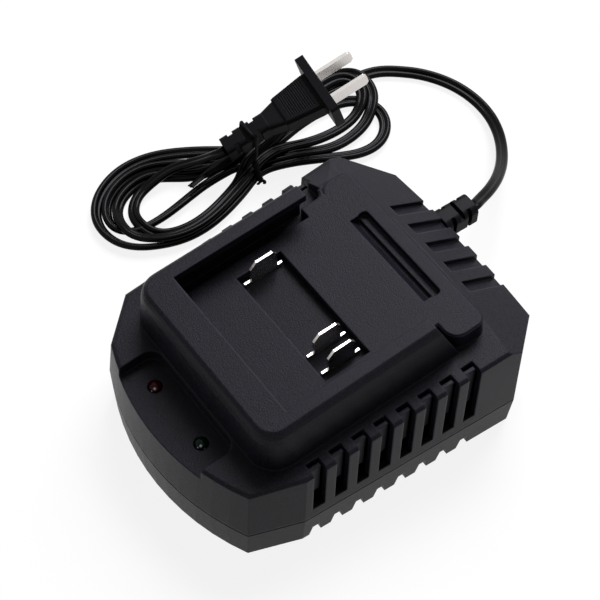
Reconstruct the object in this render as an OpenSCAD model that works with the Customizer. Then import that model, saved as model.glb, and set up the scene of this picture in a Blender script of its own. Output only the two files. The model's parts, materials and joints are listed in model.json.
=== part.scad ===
// Mains charger for slide-in tool batteries, millimetres, +Z up.
// The front, with the status lights, faces -Y. The origin is the centre of the base on the table.

/* [Case] */
// Length of the case, front to rear
case_l = 143; // [125:1:172]
// Width of the case at its front corners
case_w_front = 103; // [92:1:124]
// Width of the case at its rear corners
case_w_rear = 110; // [98:1:132]
// Height of the parting line above the table
base_h = 14.8; // [13:0.2:18]
// Height of the deck above the table at its front edge
deck_front_h = 40.4; // [37:0.2:49]
// Rise of the deck towards the rear, in degrees
deck_tilt = 4.5; // [3:0.5:6]
// Thickness of the housing walls
wall = 2.4; // [2:0.1:3]
// Radius of the bowed front
bow_r = 96; // [85:1:140]
// How far the side walls lean in between the parting line and the deck
draft = 0.6; // [0:0.1:1]
// How far the base tapers in towards the table
base_taper = 1.1; // [0:0.1:2]
// Bevel round the edge of the deck
edge_bevel = 1.2; // [0.6:0.1:1.6]

/* [Corners] */
// Front right corner: where the bow ends, from the centre
front_right_x = 44.6; // [38:0.2:48]
// Front right corner: length of its cut along the side
front_right_cut = 20; // [12:0.5:26]
// Front left corner at the parting line: where the bow ends, from the centre
front_left_x = 41.6; // [36:0.2:46]
// Front left corner: how much further in the bow ends at deck level
front_left_lean = 5.2; // [0:0.2:7]
// Front left corner: length of its cut along the side
front_left_cut = 14; // [10:0.5:22]
// Rear corners: length of the cut along the side
rear_cut_y = 17; // [10:0.5:20]
// Rear corners: length of the cut along the rear
rear_cut_x = 14.8; // [8:0.2:18]
// Bulge of the rear wall between its corners
rear_bulge = 1.5; // [0.5:0.1:3]

/* [Dock] */
// Half the width of the pocket between the rails
pocket_x = 33.8; // [30:0.2:36]
// Length of the pocket ahead of the deck's centre
pocket_front = 36; // [33:0.5:40]
// Height of the rails above the deck
rim_h = 20.1; // [17:0.1:22]
// Height of the battery's sliding platform above the deck
platform_h = 7.8; // [6.5:0.1:9.5]
// Width of a rail at its foot
rail_foot = 9; // [8.5:0.1:10.5]
// How far the outer side of the dock leans in
dock_lean = 2.6; // [1:0.1:3.4]
// Width of the dock's front rim at its top
rim_front = 11.8; // [9:0.1:13]
// Where the right rail ends behind the deck's centre
rail_end = 24.8; // [18:0.2:27]
// How much shorter the left rail is
rail_short = 2.5; // [0:0.1:4]
// Where the platform ends behind the deck's centre
platform_end = 46.4; // [44:0.2:48]
// Depth of the undercut below each rail
undercut = 4.4; // [3:0.1:5]
// Height of the rail's lip
lip_h = 3.2; // [2:0.1:5]
// Half the width of the ears at the rear of the platform
ear_x = 41.5; // [39:0.1:43]
// Length of the right ear
ear_l = 15.4; // [12:0.2:16]
// How much shorter the left ear is
ear_short = 1.2; // [0:0.1:3]
// Half the length of the latch slot
latch_x = 22.4; // [16:0.2:26]
// Width of the latch slot
latch_w = 7.8; // [6:0.1:9]

/* [Contacts] */
// Half the width of the contact well
well_x = 26.7; // [25.8:0.1:28]
// Length of the contact well
well_l = 19.6; // [18.6:0.1:22]
// Depth of the contact well below the platform
well_d = 3.8; // [3:0.1:5]
// Length of a contact blade
blade_l = 14.9; // [12:0.1:16]
// Height of a contact blade above its holder
blade_h = 11.6; // [8:0.1:12.5]
// Thickness of a contact blade
blade_t = 1; // [0.8:0.1:1.4]

/* [Lights] */
// Half the width of the light recess
recess_x = 25.6; // [22:0.2:29]
// Depth of the light recess
recess_d = 5.2; // [4:0.1:6.5]
// Distance between the two lights
light_gap = 28.8; // [20:0.2:36]
// Diameter of a light
led_d = 5; // [3:0.1:6]
// Clearance round a light in its hole
led_clear = 0.25; // [0.1:0.05:0.5]

/* [Slots] */
// Cooling slots on each side
slots = 8; // [4:1:8]
// Distance from slot to slot
slot_pitch = 9.45; // [8.4:0.05:10]
// Width of a slot
slot_w = 5.3; // [3.5:0.1:6]
// Height of the slots' lower ends above the table
slot_foot = 20.4; // [18:0.2:24]
// Width of the deck strip that the slots run into
slot_reach = 5.6; // [4:0.1:7]

/* [Hidden] */
$fn = 48;

black = [0.09, 0.09, 0.1];
steel = [0.75, 0.75, 0.77];
thin = 0.3;
fit = 0.15;

// ---- case outline -------------------------------------------------------
half_l = case_l / 2;
half_f = case_w_front / 2;
half_r = case_w_rear / 2;
rear_y = half_l - rear_bulge;
side_end_y = rear_y - rear_cut_y;
rear_x = half_r - rear_cut_x;
bow_steps = 12;

function bow_y(x) = -half_l + bow_r - sqrt(bow_r * bow_r - x * x);
right_side_y = bow_y(front_right_x) + front_right_cut;
left_side_y = bow_y(front_left_x) + front_left_cut;
// half width of the case beside a point, at the parting line
function side_x(y) = half_f + (half_r - half_f) * (y - right_side_y) / (side_end_y - right_side_y);

// lean: how much further in the bow ends on the left
function outline(lean) = let (left = front_left_x - lean) concat(
    [for (i = [0:bow_steps]) let (x = -left + (left + front_right_x) * i / bow_steps) [x, bow_y(x)]],
    [[side_x(right_side_y), right_side_y], [half_r, side_end_y], [rear_x, rear_y]],
    [for (i = [1:4]) let (x = rear_x * (1 - i / 2)) [x, half_l - rear_bulge * pow(x / rear_x, 2)]],
    [[-half_r, side_end_y], [-side_x(left_side_y), left_side_y]]);

module case_outline(inset, lean = 0) {
    offset(delta = -inset) polygon(outline(lean));
}

// ---- deck frame: x across, y along the slope, z above the deck ------------
module deck() {
    translate([0, -half_l, deck_front_h]) rotate([deck_tilt, 0, 0]) translate([0, half_l, 0]) children();
}
function deck_z(y) = deck_front_h + (y + half_l) * tan(deck_tilt);
// a point of the deck frame in the frame of the whole charger
function on_deck(x, s, h) = [x, -half_l + (s + half_l) * cos(deck_tilt) - h * sin(deck_tilt),
    deck_front_h + (s + half_l) * sin(deck_tilt) + h * cos(deck_tilt)];

// ---- rear slope: a gently crowned ramp from the deck to the rear wall -----
slope_y = 53;
slope_z = deck_front_h + 7.9;
slope_angle = 28.8;
crown_r = 730;
module slope() {
    translate([0, slope_y, slope_z]) rotate([-slope_angle, 0, 0]) children();
}
module above_slope(sink) {
    slope() difference() {
        translate([-half_r - 10, -18, -9]) cube([2 * half_r + 20, 60, 60]);
        translate([0, 0, -crown_r - sink]) rotate([-90, 0, 0])
            cylinder(r = crown_r, h = 200, center = true, $fn = 360);
    }
}

// ---- cord exit ------------------------------------------------------------
cord_x = -14.6;
cord_z = 31.6;
relief_w = 10;
relief_h = 10.6;
relief_l = 15;
relief_r = 3;
neck_w = 7.6;
neck_h = 7.2;
cord_w = 5;
cord_t = 2.7;
relief_y = half_l - rear_bulge * pow(cord_x / rear_x, 2);

// points of an arc round a centre, from angle a to angle b
function arc(x, y, r, a, b, n = 8) =
    [for (i = [0:n]) let (t = a + (b - a) * i / n) [x, y] + r * [cos(t), sin(t)]];
module rounded_rect(w, h, r) {
    offset(r = r, $fn = 32) square([w - 2 * r, h - 2 * r], center = true);
}

// ---- screws ---------------------------------------------------------------
floor_z = 7;
floor_t = 2.4;
floor_top = floor_z + floor_t;
case_screw_r = 1.5;
case_screw_l = 12;
boss_r = 3.6;
case_screw_at = [[half_f - 9.8, -44], [-half_f + 9.8, -44], [half_r - 13, 44], [-half_r + 13, 44]];
module at(list) {
    for (p = list) translate([p[0], p[1], 0]) children();
}
// head below z = 0, shank up
module pan_screw(r, l, head_r, head_h) {
    cylinder(r = r, h = l);
    translate([0, 0, -head_h]) difference() {
        cylinder(r = head_r, h = head_h);
        for (a = [0, 90]) rotate(a)
            translate([-head_r * 0.6, -0.4, -0.1]) cube([head_r * 1.2, 0.8, head_h / 2]);
    }
}

// ---- upper cover ----------------------------------------------------------
first_slot_y = -34.8;
slots_y = [for (i = [0:slots - 1]) first_slot_y + (i + (8 - slots) / 2) * slot_pitch];
louvre_foot = slot_foot + 7;
louvre_w = slot_w - 0.7;
louvre_in = 2.6;
louvre_sink = 0.7;
louvre_t = 1.5;
louvre_root = 1.4;
rib_pitch = 10.6;
rib_w = 5.3;
rib_d = 2.3;
light_s = -59.8;
recess_back = -52;
recess_r = 5;
recess_floor = 2;
base_front = -51.2;
base_x = pocket_x + rail_foot;
well_back = 5.1;
well_mid = well_back - well_l / 2;
deck_t = 2.6;

module cover_shell() {
    difference() {
        hull() {
            translate([0, 0, base_h]) linear_extrude(thin) case_outline(0);
            deck() translate([0, 0, -edge_bevel]) linear_extrude(thin) case_outline(draft, front_left_lean);
            deck() translate([0, 0, -thin]) linear_extrude(thin)
                case_outline(draft + edge_bevel, front_left_lean);
        }
        above_slope(0);
    }
}

module dock_plan(grow) {
    front = base_front + dock_lean - grow;
    x = base_x - dock_lean + grow;
    r = 8 + grow;
    polygon(concat(arc(-x + r, front + r, r, 180, 270), arc(x - r, front + r, r, 270, 360),
                   [[x, rail_foot_end], [-x, rail_foot_end]]));
}

// outer side of the dock, convex: [share of the height, share of the lean left]
rim_profile = [[0.42, 0.75], [0.72, 0.5], [0.87, 0.24], [0.95, -0.08], [1, -0.55]];
rail_slant = 8.4;
rail_foot_end = rail_end + rail_slant;

module dock_rim() {
    deck() difference() {
        hull() {
            translate([0, 0, -1]) linear_extrude(1) dock_plan(dock_lean);
            for (p = rim_profile) translate([0, 0, rim_h * p[0] - thin]) linear_extrude(thin)
                dock_plan(dock_lean * p[1]);
        }
        // the right rail's end slants down to the ear, the left one is upright and shorter
        rotate([90, 0, 90]) linear_extrude(half_r)
            polygon([[rail_end, rim_h], [rail_foot_end + 0.1, -1], [rail_foot_end + 0.1, 40],
                     [rail_end, 40]]);
        translate([-half_r, rail_end - rail_short, 0]) cube([half_r + 1, 20, 40]);
    }
}

module platform_plan() {
    translate([-step_x, -pocket_front]) square([step_x + floor_x, pocket_front + platform_end - 4]);
    ear(ear_l);
    mirror([1, 0]) ear(ear_l - ear_short);
    // soft inner corner of the left ear
    translate([-step_x - 3, platform_end - ear_l + ear_short - 3]) difference() {
        square(4);
        circle(r = 3, $fn = 32);
    }
}
module ear(l) {
    polygon(concat(arc(ear_x - 6, platform_end - l + 6, 6, 270, 360),
                   arc(ear_x - 4, platform_end - 4, 4, 0, 90),
                   [[-1, platform_end], [-1, platform_end - l]]));
}
floor_x = pocket_x - 1.3;
step_x = pocket_x + 3.8;

module platform() {
    deck() translate([0, 0, -2]) {
        linear_extrude(platform_h + 2 - 0.5) platform_plan();
        translate([0, 0, platform_h + 1.5]) linear_extrude(0.5) offset(delta = -0.5) platform_plan();
    }
}

// the left ear runs down to the edge of the deck
module ear_ramp() {
    edge_x = side_x(platform_end - ear_l) - draft - edge_bevel;
    deck() translate([0, platform_end, 0]) rotate([90, 0, 0]) linear_extrude(ear_l - ear_short - 1.2)
        polygon([[-ear_x + 3, -1], [-ear_x + 3, platform_h - 1], [-ear_x - 0.6, platform_h - 1],
                 [-edge_x, 0], [-edge_x, -1]]);
}

// space inside the cover, with the light recess, the pocket's floor and the rails left standing
module cover_cavity() {
    difference() {
        hull() {
            translate([0, 0, base_h - 1]) linear_extrude(thin) case_outline(wall);
            deck() translate([0, 0, -deck_t]) linear_extrude(thin)
                case_outline(wall + draft, front_left_lean);
        }
        above_slope(wall + rib_d / 2);
        deck() translate([0, 0, -recess_d - recess_floor]) linear_extrude(20) recess_plan(recess_floor);
    }
    deck() translate([0, 0, -deck_t - 1]) {
        difference() {
            translate([-well_x - wall - 1, -pocket_front + 2, 0])
                cube([2 * (well_x + wall + 1), pocket_front + platform_end - 5,
                      platform_h - wall + deck_t + 1]);
            // floor of the latch slot
            translate([-latch_x - 2, latch_s - latch_w / 2 - 2, latch_floor])
                cube([2 * latch_x + 4, latch_w + 4, 20]);
        }
        translate([-pocket_x, base_front + dock_lean + wall + 1, 0])
            cube([2 * pocket_x, rim_front - 2 * wall - 1, rim_h - wall + deck_t + 1]);
    }
}

module recess_plan(grow) {
    x = recess_x - recess_r;
    r = recess_r + grow;
    polygon(concat(arc(x, recess_back - recess_r, r, 0, 90), arc(-x, recess_back - recess_r, r, 90, 180),
                   [[-x - r, -half_l - 10], [x + r, -half_l - 10]]));
}

module dock_cuts() {
    deck() {
        // the pocket above the platform, open to the rear
        translate([-pocket_x, -pocket_front, platform_h]) cube([2 * pocket_x, 120, 40]);
        // undercuts below the rails' lips
        for (i = [0, 1]) mirror([i, 0, 0]) {
            back = i == 0 ? platform_end - ear_l : rail_end - rail_short;
            translate([floor_x, -pocket_front, platform_h - groove_d])
                cube([pocket_x + undercut - floor_x, pocket_front + back,
                      rim_h - lip_h - platform_h + groove_d]);
            translate([pocket_x - 0.1, 0, platform_h])
                cube([undercut + 0.1, back + 1, rim_h - lip_h - platform_h]);
        }
        // well for the contacts, right through the platform
        translate([-well_x, well_mid - well_l / 2, -6]) cube([2 * well_x, well_l, 20]);
        // latch slot: a sloping front groove, then a ledge
        translate([0, latch_s, platform_h]) {
            translate([0, latch_w * 0.22, -ledge_d]) linear_extrude(20)
                rounded_rect(2 * latch_x, latch_w * 0.56, 1.6);
            rotate([90, 0, 90]) linear_extrude(2 * latch_x - 1, center = true)
                polygon([[-latch_w / 2, 1], [-latch_w / 2, 0], [-latch_w * 0.08, -latch_d],
                         [latch_w * 0.1, -latch_d], [latch_w * 0.1, 1]]);
        }
    }
}
latch_s = 36.9;
latch_d = 4.2;
ledge_d = 2.6;
latch_floor = deck_t + 1 + platform_h - latch_d - 1.8;
groove_d = 4.3;

module well_skirt() {
    deck() translate([0, well_mid, holder_floor]) linear_extrude(platform_h - wall - holder_floor + 0.5)
        difference() {
            square([2 * well_x + 2 * wall, well_l + 2 * wall], center = true);
            square([2 * well_x, well_l], center = true);
        }
}
holder_floor = platform_h - well_d - 3.4;

module cooling_slot(y) {
    x = side_x(y);
    translate([x - slot_reach - draft, y - slot_w / 2, slot_foot]) cube([slot_reach + 8, slot_w, 60]);
}

// upright plate behind a slot, rooted in the wall in front of it, with a narrow gap at its rear
module louvre(y) {
    x = side_x(y) - draft - louvre_in - louvre_t;
    height = deck_z(y) - louvre_sink - louvre_foot;
    translate([x, y - slot_w / 2 - louvre_root, louvre_foot]) {
        cube([louvre_t, louvre_w + louvre_root, height]);
        cube([louvre_t + louvre_in - wall / 2, louvre_root, height]);
    }
}

module slope_ribs() {
    slope() for (i = [-2:2]) translate([i * rib_pitch - rib_w / 2, 0, -rib_d]) cube([rib_w, 60, 20]);
}

module upper_cover() color(black) {
    difference() {
        union() {
            cover_shell();
            dock_rim();
            platform();
            difference() {
                ear_ramp();
                above_slope(0);
            }
        }
        cover_cavity();
        dock_cuts();
        slope_ribs();
        for (y = slots_y, i = [0, 1]) mirror([i, 0, 0]) cooling_slot(y);
        deck() {
            translate([0, 0, -recess_d]) linear_extrude(20) intersection() {
                recess_plan(0);
                translate([-100, -100]) square([200, 100 + recess_back + 1]);
            }
            for (i = [-1, 1]) translate([i * light_gap / 2, light_s, -20])
                cylinder(d = led_d + 2 * led_clear, h = 30);
        }
        translate([cord_x, half_l, cord_z]) rotate([90, 0, 0])
            linear_extrude(20, center = true) rounded_rect(neck_w + 2 * fit, neck_h + 2 * fit, 2);
        // shadow gap along the parting line
        translate([0, 0, base_h - 1]) linear_extrude(1.4) difference() {
            case_outline(-2);
            case_outline(0.9);
        }
    }
    well_skirt();
    for (y = slots_y, i = [0, 1]) mirror([i, 0, 0]) louvre(y);
    for (p = case_screw_at) translate([p[0], p[1], floor_top]) difference() {
        cylinder(r = boss_r, h = deck_z(p[1]) - 1 - floor_top);
        translate([0, 0, -1]) cylinder(r = case_screw_r, h = case_screw_l + 2);
    }
}

// ---- lower case -----------------------------------------------------------
foot_w = 4.9;
foot_top = 2.9;
foot_h = 5.4;
post_r = 3.2;
board_gap = 3;
board_z = floor_top + board_gap;
board_t = 1.6;
board_top = board_z + board_t;
board_x = 36;
board_front = -62;
board_back = 50;
board_screw_at = [[31, -52], [-31, -52], [31, 44], [-31, 44]];
saddle_w = 24;
saddle_d = 7;
saddle_y = 60;
clamp_gap = 8;
lip = 2;
// the cover leans in a little beside the lip
lip_in = draft * (lip + 1) / (deck_front_h - base_h);
lip_lean = front_left_lean * (lip + 1) / (deck_front_h - base_h);

module lower_case() color(black) {
    difference() {
        hull() {
            translate([0, 0, base_h - thin]) linear_extrude(thin) case_outline(0);
            linear_extrude(thin) case_outline(base_taper);
        }
        // open top, open below the floor
        translate([0, 0, floor_top]) linear_extrude(base_h) case_outline(wall);
        translate([0, 0, -1]) linear_extrude(floor_z + 1) case_outline(wall + base_taper);
        // foot notches in line with the cooling slots
        for (y = slots_y) translate([0, y, -1]) rotate([90, 0, 90])
            linear_extrude(3 * half_r, center = true)
                polygon([[-foot_w / 2 - 0.3, 0], [foot_w / 2 + 0.3, 0], [foot_top / 2, foot_h + 1],
                         [-foot_top / 2, foot_h + 1]]);
        at(case_screw_at) translate([0, 0, floor_z - 1]) cylinder(r = case_screw_r + fit, h = 5);
        // openings under the board
        for (i = [-4:4]) translate([i * 7 - 1.2, -18, floor_z - 1]) cube([2.4, 36, 5]);
    }
    // lip inside the cover
    difference() {
        translate([0, 0, floor_top - 0.5]) linear_extrude(base_h + lip - floor_top + 0.5)
            difference() {
                case_outline(wall + fit + lip_in, lip_lean);
                case_outline(wall + fit + lip_in + 1.1, lip_lean);
            }
        at(case_screw_at) translate([0, 0, floor_top]) cylinder(r = boss_r + 0.3, h = 20);
    }
    at(board_screw_at) translate([0, 0, floor_top - 0.5]) difference() {
        cylinder(r = post_r, h = board_gap + 0.5);
        translate([0, 0, 0.6]) cylinder(r = 1, h = 5);
    }
    translate([cord_x - saddle_w / 2, saddle_y - saddle_d / 2, floor_top - 0.5]) difference() {
        cube([saddle_w, saddle_d, cord_z - cord_t / 2 - floor_top + 0.5]);
        for (i = [-1, 1]) translate([saddle_w / 2 + i * clamp_gap, saddle_d / 2, 8])
            cylinder(r = 1.1, h = 30);
    }
}

// ---- contacts ---------------------------------------------------------------
holder_top = platform_h - well_d;
holder_flange = 2;
blades = [["terminal_positive", -24], ["terminal_sense", 14], ["terminal_negative", 22.5]];
blade_s = well_mid + 0.2;
tab_h = 6;

module terminal_holder() color([0.07, 0.07, 0.08]) deck() difference() {
    union() {
        translate([-well_x + fit, well_mid - well_l / 2 + fit, holder_floor - 0.5])
            cube([2 * (well_x - fit), well_l - 2 * fit, holder_top - holder_floor + 0.5]);
        translate([-well_x - wall, well_mid - well_l / 2 - wall, holder_floor - holder_flange])
            cube([2 * (well_x + wall), well_l + 2 * wall, holder_flange]);
    }
    for (b = blades) translate([b[1] - blade_t / 2 - 0.05, blade_s - blade_l / 2 - 0.05, -20])
        cube([blade_t + 0.1, blade_l + 0.1, 40]);
    for (i = [-1, 1]) translate([i * 4 - 3, well_mid, -20]) cylinder(r = 1.25, h = 20 + holder_top - 0.7);
}

// upright blade with sloping top corners and a foot at each end
module blade(x) deck() translate([x, blade_s, holder_top]) rotate([90, 0, 90])
    linear_extrude(blade_t, center = true) polygon([
        [-blade_l / 2, -tab_h], [blade_l / 2, -tab_h], [blade_l / 2, 0],
        [foot_back, 0], [foot_back, foot_rise],
        [blade_l / 2 - 1.5, foot_rise], [blade_l / 2 - 1.5, blade_h - 2.2], [blade_l / 2 - 3.2, blade_h],
        [-blade_l / 2 + 4.4, blade_h], [-blade_l / 2 + 1.7, blade_h - 2.9], [-blade_l / 2 + 1.7, foot_rise],
        [-foot_front, foot_rise], [-foot_front, 0], [-blade_l / 2, 0]]);
foot_rise = 2;
foot_front = blade_l / 2 + 1.1;
foot_back = blade_l / 2 + 0.7;

module terminal_positive() color(steel) blade(blades[0][1]);
module terminal_sense() color(steel) blade(blades[1][1]);
module terminal_negative() color(steel) blade(blades[2][1]);

// ---- lights -----------------------------------------------------------------
module led(x) deck() translate([x, light_s, -recess_d - recess_floor]) {
    translate([0, 0, -1]) cylinder(d = led_d + 0.9, h = 1);
    cylinder(d = led_d, h = 1.2);
    translate([0, 0, 1.2]) difference() {
        sphere(d = led_d);
        translate([-led_d, -led_d, -2 * led_d]) cube(2 * led_d);
    }
}
module led_red() color([0.45, 0.02, 0.03]) led(-light_gap / 2);
module led_green() color([0.02, 0.3, 0.08]) led(light_gap / 2);

// straight wire from a to b with a round end at b
module wire(a, b, r) {
    d = b - a;
    l = norm(d);
    translate(a) rotate([0, acos(d[2] / l), atan2(d[1], d[0])]) {
        cylinder(r = r, h = l, $fn = 16);
        translate([0, 0, l]) sphere(r = r, $fn = 16);
    }
}
module wire_path(points, r) {
    for (i = [0:len(points) - 2]) wire(points[i], points[i + 1], r);
}

led_base = on_deck(0, light_s, -recess_d - recess_floor - 1.1);
module light_leads() color(steel) for (x = [-1, 1] * light_gap / 2, i = [-1, 1] * 1.27) {
    top = [x + i, led_base[1], led_base[2] - 0.5];
    translate([top[0], top[1], board_top + 0.1]) cylinder(r = 0.3, h = top[2] - board_top, $fn = 16);
}

// ---- board and what stands on it -----------------------------------------------
module circuit_board() color([0.1, 0.32, 0.16]) translate([0, 0, board_z]) difference() {
    translate([-board_x, board_front, 0]) cube([2 * board_x, board_back - board_front, board_t]);
    for (i = [-1, 1]) translate([i * (board_x + 4), board_front, -1]) rotate(i * 45)
        cube([16, 30, 10], center = true);
    at(board_screw_at) translate([0, 0, -1]) cylinder(r = 1.4, h = 5);
}

core_w = 28;
core_d = 14;
core_h = 22;
leg_w = 9;
transformer_at = [2, 14, board_top];
module transformer_core() color([0.2, 0.2, 0.21])
    translate(transformer_at) translate([0, 0, 2]) difference() {
        translate([-core_w / 2, -core_d / 2, 0]) cube([core_w, core_d, core_h]);
        for (i = [-1, 1]) translate([i * (leg_w / 2 + 3) - 3, -core_d, 3.4])
            cube([6, 2 * core_d, core_h - 6.8]);
    }
module transformer_winding() color([0.85, 0.7, 0.15]) translate(transformer_at) {
    difference() {
        translate([-leg_w / 2 - 5.7, -core_d / 2 - 5, 2 + 3.6])
            cube([leg_w + 11.4, core_d + 10, core_h - 7.2]);
        translate([-leg_w / 2 - 0.15, -core_d / 2 - 0.15, 0]) cube([leg_w + 0.3, core_d + 0.3, 60]);
    }
    translate([-core_w / 2, -core_d / 2 - 6, 0]) cube([core_w, core_d + 12, 1.9]);
    for (i = [-1, 1]) translate([-leg_w / 2 - 5, i * (core_d / 2 + 3) - 1.5, 1.5]) cube([leg_w + 10, 3, 5]);
}

module can(d, h) {
    cylinder(d = d, h = h - 0.6);
    cylinder(d = d - 1.2, h = h);
}
module mains_capacitor() color([0.13, 0.16, 0.3]) translate([-22, 32, board_top]) can(16, 25);
module output_capacitors() color([0.1, 0.1, 0.12]) for (i = [0, 1])
    translate([22, -12 - 13 * i, board_top]) can(10, 16);
module suppression_capacitor() color([0.75, 0.65, 0.1]) translate([7, 36.5, board_top])
    cube([18, 8, 13]);
module choke() color([0.55, 0.3, 0.12]) translate([-24, 10, board_top]) rotate_extrude()
    translate([4, 0]) square([5, 9]);
module fuse() color([0.85, 0.85, 0.8]) translate([8, 31, board_top + 2.8]) rotate([0, 90, 0]) {
    cylinder(d = 5, h = 20, center = true);
    for (i = [-1, 1]) translate([0, 0, i * 7.5]) cylinder(d = 5.6, h = 5, center = true);
}
module bridge_rectifier() color([0.07, 0.07, 0.07]) translate([-31, -8, board_top]) {
    translate([0, 0, 1.5]) cube([14, 3.5, 10]);
    for (i = [0:3]) translate([1 + i * 3.7, 1.4, 0]) cube([0.9, 0.8, 2]);
}

// upright plate with a foot and three fins
module heatsink() {
    translate([-15, 0, 0]) cube([30, 1.8, 18]);
    for (i = [-1:1]) translate([i * 10 - 0.7, 0, 2]) cube([1.4, 6, 16]);
}
// flat transistor: tab, body and three legs, the tab's back on the plane y = 0
module transistor() {
    translate([-5, -1.2, 5]) cube([10, 1.2, 13]);
    translate([-5, -4.4, 5]) cube([10, 3.3, 8.5]);
    for (i = [-1:1]) translate([i * 2.5 - 0.4, -2.6, 0]) cube([0.8, 0.6, 5.5]);
}
primary_at = [-14, -18, board_top];
secondary_at = [4, -34, board_top];
module heatsink_primary() color([0.7, 0.71, 0.73]) translate(primary_at) heatsink();
module heatsink_secondary() color([0.7, 0.71, 0.73]) translate(secondary_at) heatsink();
module power_transistor() color([0.12, 0.12, 0.12]) translate(primary_at) transistor();
module output_rectifier() color([0.12, 0.12, 0.12]) translate(secondary_at) transistor();

module chip(l, pins) {
    translate([-l / 2, -3.2, 0.6]) cube([l, 6.4, 3.3]);
    for (i = [0:pins / 2 - 1], j = [-1, 1])
        translate([-l / 2 + 0.9 + i * 2.54, j * 3.7 - 0.6, 0]) cube([0.6, 1.2, 2]);
}
module controller_chip() color([0.07, 0.07, 0.07]) translate([-22, -42, board_top]) chip(9.6, 8);
module optocoupler() color([0.9, 0.9, 0.88]) translate([-22, -30, board_top]) chip(4.6, 4);

module output_leads() color([0.6, 0.1, 0.1]) for (b = blades) {
    tab = on_deck(b[1], blade_s + 3, holder_top - tab_h - 0.9);
    translate([tab[0], tab[1], board_top + 0.05])
        cylinder(r = 0.8, h = tab[2] - board_top - 0.1, $fn = 24);
}

inner_y = half_l - wall - rear_bulge - 3.2;
module mains_leads() color([0.1, 0.1, 0.1]) {
    translate([cord_x, saddle_y - 5, cord_z]) rotate([-90, 0, 0])
        linear_extrude(inner_y - saddle_y + 5 - 0.05) rounded_rect(cord_w, cord_t - 0.1, 1.2);
    for (i = [-1, 1]) wire_path([[cord_x + i * 1.2, saddle_y - 4.5, cord_z], [cord_x + i * 2, 47, cord_z - 3],
        [cord_x + i * 3, 46, board_top + 0.9]], 0.8);
}

module cord_clamp() color([0.12, 0.12, 0.12])
    translate([cord_x, saddle_y, cord_z + cord_t / 2]) difference() {
        translate([-saddle_w / 2, -saddle_d / 2 + 0.5, 0]) cube([saddle_w, saddle_d - 1, 2.6]);
        for (i = [-1, 1]) translate([i * clamp_gap, 0, -1]) cylinder(r = 1.3, h = 5);
    }

// ---- screws --------------------------------------------------------------------
module case_screws() color(steel) at(case_screw_at) translate([0, 0, floor_z])
    pan_screw(case_screw_r, case_screw_l, 2.9, 2);
module board_screws() color(steel) at(board_screw_at) translate([0, 0, board_top]) rotate([180, 0, 0])
    pan_screw(1, 4, 2, 1.4);
module holder_screws() color(steel) deck() for (i = [-1, 1])
    translate([i * 4 - 3, well_mid, holder_floor - holder_flange]) pan_screw(1.25, 4.6, 2.3, 1.5);
module clamp_screws() color(steel) for (i = [-1, 1])
    translate([cord_x + i * clamp_gap, saddle_y, cord_z + cord_t / 2 + 2.6]) rotate([180, 0, 0])
        pan_screw(1.1, 10, 2.1, 1.4);

// ---- strain relief ---------------------------------------------------------------
// segmented sleeve along +y from y = 0: full section with staggered side windows and a centre groove
module sleeve(w, h, l, r) {
    difference() {
        rotate([-90, 0, 0]) linear_extrude(l) rounded_rect(w, h, r);
        for (y = [0.24, 0.74] * l, i = [-1, 1]) translate([i * w / 2, y, 0])
            cube([w * 0.46, l * 0.12, 2 * h], center = true);
        translate([-w, l * 0.46, h * 0.3]) cube([2 * w, l * 0.11, h]);
        translate([-w, l * 0.46, -h * 1.3]) cube([2 * w, l * 0.11, h]);
    }
}
module strain_relief() color([0.06, 0.06, 0.06]) translate([cord_x, 0, cord_z]) {
    translate([0, relief_y + 0.1, 0]) sleeve(relief_w, relief_h, relief_l, relief_r);
    translate([0, inner_y + 1, 0]) rotate([-90, 0, 0])
        linear_extrude(relief_y - inner_y) rounded_rect(neck_w, neck_h, 2);
    translate([0, inner_y, 0]) rotate([-90, 0, 0]) linear_extrude(1.4) rounded_rect(relief_w, relief_h, 2);
}

// ---- cord, hank and plug -----------------------------------------------------------
cord_start_y = relief_y + 0.1 + relief_l;
cord_route = [
    [cord_x, cord_start_y, cord_z], [cord_x, cord_start_y + 1.5, cord_z], [-15.5, 93, 30.5],
    [-19, 102, 26.5], [-25, 111.5, 20.5], [-33, 121, 13.5], [-42.5, 130, 7.5], [-54, 137, 3.6],
    [-67, 141, 2.5], [-80, 140.5, 2.5], [-91.5, 136, 2.7], [-100.5, 128, 3.2], [-105, 120, 4],
    [-106.8, 114.2, 4.5]];

function unit(v) = v / norm(v);
function tangent(p, i) = unit(p[min(i + 1, len(p) - 1)] - p[max(i - 1, 0)]);
// flat section, its wide side level
function cord_ring(p, i, w, t, n) =
    let (d = tangent(p, i), side = unit(cross(d, [0, 0, 1])), up = cross(side, d))
    [for (k = [0:n - 1]) p[i] + w / 2 * cos(360 * k / n) * side + t / 2 * sin(360 * k / n) * up];
module tube(p, w, t, n) {
    rings = len(p);
    points = [for (i = [0:rings - 1]) each cord_ring(p, i, w, t, n)];
    sides = [for (i = [0:rings - 2], k = [0:n - 1])
        [i * n + k, i * n + (k + 1) % n, (i + 1) * n + (k + 1) % n, (i + 1) * n + k]];
    ends = [[for (k = [n - 1:-1:0]) k], [for (k = [0:n - 1]) (rings - 1) * n + k]];
    polyhedron(points = points, faces = concat(sides, ends), convexity = 6);
}
module power_cord() color([0.05, 0.05, 0.05]) tube(cord_route, cord_w, cord_t, 8);

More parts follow.
